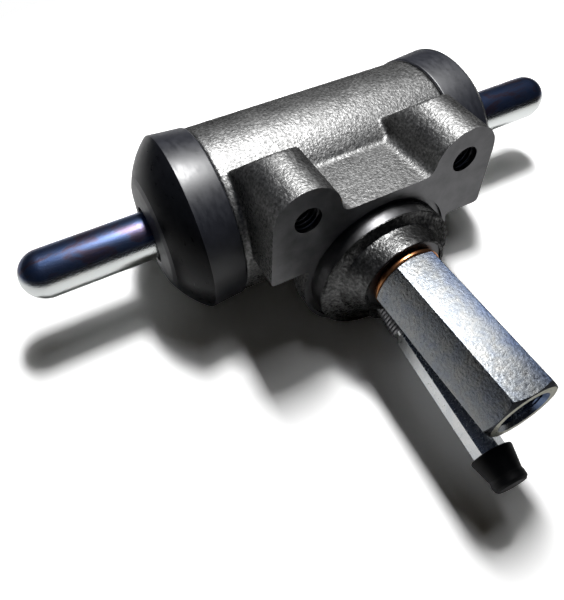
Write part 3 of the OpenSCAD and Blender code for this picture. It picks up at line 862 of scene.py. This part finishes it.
def makeCamera():
    a, e, w = (math.radians(shot[k]) for k in ("azimuth", "elevation", "roll"))
    back = Vector((math.sin(a) * math.cos(e), -math.cos(a) * math.cos(e), math.sin(e)))
    level = Vector((math.cos(a), math.sin(a), 0))
    rise = back.cross(level)
    right = level * math.cos(w) + rise * math.sin(w)
    up = rise * math.cos(w) - level * math.sin(w)
    data = bpy.data.cameras.new("camera")
    data.sensor_width = 36
    data.lens = shot["focalPixels"] * data.sensor_width / shot["longSide"]
    data.clip_start, data.clip_end = 0.005, 20
    cam = bpy.data.objects.new("camera", data)
    bpy.context.scene.collection.objects.link(cam)
    turn = Matrix((right, up, back)).transposed().to_4x4()
    place = back * shot["distance"] + right * shot["across"] + up * shot["rise"]
    cam.matrix_world = Matrix.Translation(place * mm) @ turn
    bpy.context.scene.camera = cam


makeCamera()
print("camera set")

# floor and light: the part lies on its boots and the edge of its round flange
studio = {
    "floorAtFace": -21.6, "floorSlope": 4.78,       # millimetres and degrees
    "floorHalf": 0.3, "fadeFrom": 0.13, "fadeTo": 0.2,                 # metres
    "floorSoft": 0.4, "floorPale": 0.72, "floorWhite": 1.4,            # for soft, glossy and camera rays
    "lamps": {                                      # spot and size in metres, and watts, of each soft panel
        "keyPanel": ((0.03, 0.086, 0.3), (0.042, 0.072), 1.2),
        "frontPanel": ((0.028, 0.012, 0.3), (0.04, 0.06), 0.08),
        "backPanel": ((0.03, 0.155, 0.3), (0.05, 0.045), 0.09),
        "sidePanel": ((0.14, 0.085, 0.3), (0.07, 0.09), 0.047),
    },
    "skySoft": (0.006, 0.005, 0.003), "skyGloss": (0.026, 0.032, 0.048), "skyLow": (0.008, 0.008, 0.009),
}


def seenDirectly(tree):
    path = tree.nodes.new("ShaderNodeLightPath")
    either = tree.nodes.new("ShaderNodeMath")
    either.operation = "MAXIMUM"
    tree.links.new(path.outputs["Is Camera Ray"], either.inputs[0])
    tree.links.new(path.outputs["Is Glossy Ray"], either.inputs[1])
    return path.outputs["Is Camera Ray"], either.outputs["Value"]


def mixShaders(tree, factor, first, second):
    node = tree.nodes.new("ShaderNodeMixShader")
    for socket, source in zip(node.inputs, (factor, first, second)):
        tree.links.new(source, socket)
    return node.outputs["Shader"]


def floorFinish():
    s = studio
    mat = bpy.data.materials.new("paleFloor")
    mat.use_nodes = True
    tree = mat.node_tree
    tree.nodes.remove(tree.nodes["Principled BSDF"])
    paper = tree.nodes.new("ShaderNodeBsdfDiffuse")
    soft, pale, white = ((s[k],) * 3 for k in ("floorSoft", "floorPale", "floorWhite"))
    direct, either = seenDirectly(tree)
    shown = mixColours(tree, direct, mixColours(tree, either, soft, pale), white)
    tree.links.new(shown, paper.inputs["Color"])
    away = tree.nodes.new("ShaderNodeVectorMath")
    away.operation = "LENGTH"
    tree.links.new(tree.nodes.new("ShaderNodeTexCoord").outputs["Object"], away.inputs[0])
    far = tree.nodes.new("ShaderNodeMath")
    far.operation = "MULTIPLY"
    tree.links.new(spread(tree, away.outputs["Value"], 0.0, 1.0, s["fadeFrom"], s["fadeTo"]), far.inputs[0])
    tree.links.new(direct, far.inputs[1])
    glow = tree.nodes.new("ShaderNodeEmission")     # runs into the white background away from the shadows
    near = mixShaders(tree, far.outputs["Value"], paper.outputs["BSDF"], glow.outputs["Emission"])
    below = tree.nodes.new("ShaderNodeNewGeometry").outputs["Backfacing"]
    clear = tree.nodes.new("ShaderNodeBsdfTransparent")                # lets the underside be seen
    seen = mixShaders(tree, below, near, clear.outputs["BSDF"])
    tree.links.new(seen, tree.nodes["Material Output"].inputs["Surface"])
    return mat


def makeFloor():
    s = studio
    h = s["floorHalf"]
    tilt = Matrix.Translation((0, 0, s["floorAtFace"] * mm)) @ Matrix.Rotation(math.radians(s["floorSlope"]), 4, "X")
    corners = [tilt @ Vector(p) for p in ((-h, -h, 0), (h, -h, 0), (h, h, 0), (-h, h, 0))]
    floor = addObject("floor", makeMesh("floor", corners, [(0, 1, 2, 3)]))
    floor.data.materials.append(floorFinish())


def panelLamp(name, spot, size, watts):
    data = bpy.data.lights.new(name, "AREA")
    data.shape = "RECTANGLE"
    data.size, data.size_y = size
    data.energy = watts
    obj = bpy.data.objects.new(name, data)
    bpy.context.scene.collection.objects.link(obj)
    obj.location = Vector(spot)


def makeLight():
    s = studio
    for name, (spot, size, watts) in s["lamps"].items():
        panelLamp(name, spot, size, watts)
    world = bpy.data.worlds.new("studioSky")
    bpy.context.scene.world = world
    world.use_nodes = True
    tree = world.node_tree
    sky = tree.nodes["Background"]
    height = alongAxis(tree, tree.nodes.new("ShaderNodeTexCoord").outputs["Generated"], "Z")
    gloss = ramp(tree, height, [(0.1, s["skyLow"]), (0.75, s["skyGloss"])])
    direct, either = seenDirectly(tree)
    shown = mixColours(tree, direct, mixColours(tree, either, s["skySoft"], gloss), (1, 1, 1))
    tree.links.new(shown, sky.inputs["Color"])


makeFloor()
makeLight()
bpy.context.scene.view_settings.view_transform = "Standard"
print("studio made")
